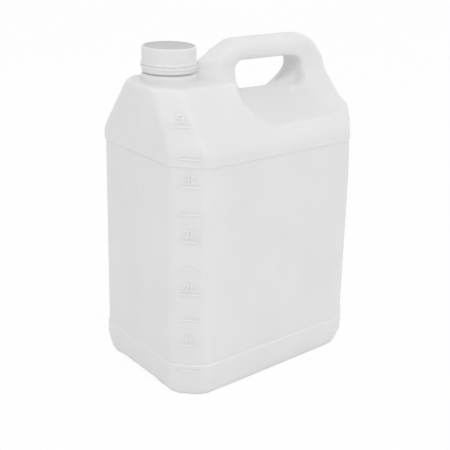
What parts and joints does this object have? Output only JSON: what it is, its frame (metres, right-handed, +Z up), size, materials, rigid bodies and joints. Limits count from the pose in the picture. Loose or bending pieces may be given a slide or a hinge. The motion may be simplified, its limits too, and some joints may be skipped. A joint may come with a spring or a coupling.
{
  "type": "square plastic jug",
  "caption": "Square blow-moulded plastic jug with chamfered corners, a sloping shoulder, a hollow handle through its top, and a ribbed screw cap above a tamper band.",
  "frame": {"origin": "centre of the footprint, on the table", "axes": "+Z up, X along the long side with the neck at the -X end and the rear post of the handle at +X, Y across the jug"},
  "size_m": [0.188, 0.135, 0.2685],
  "materials": {
    "shell": "white polyethylene, blow-moulded, satin, slightly translucent",
    "closure": "white polyethylene, injection-moulded, satin",
    "wad": "white foamed polyethylene disc"
  },
  "bodies": {
    "bottle": {"bottle": "shell", "tamper_band": "closure"},
    "liner": {"cap_liner": "wad"},
    "cap": {"cap": "closure"}
  },
  "joints": [
    {"name": "cap_rise", "type": "slide", "parent": "bottle", "child": "liner", "axis": [0, 0, 1], "range_m": [0, 0.0127]},
    {"name": "cap_turn", "type": "hinge", "parent": "liner", "child": "cap", "pos_m": [-0.063, 0, 0.26], "axis": [0, 0, 1], "range_deg": [0, 1080]}
  ],
  "couplings": [
    {"joint": "cap_rise", "follows": "cap_turn", "m_per_rad": 0.00066845}
  ]
}
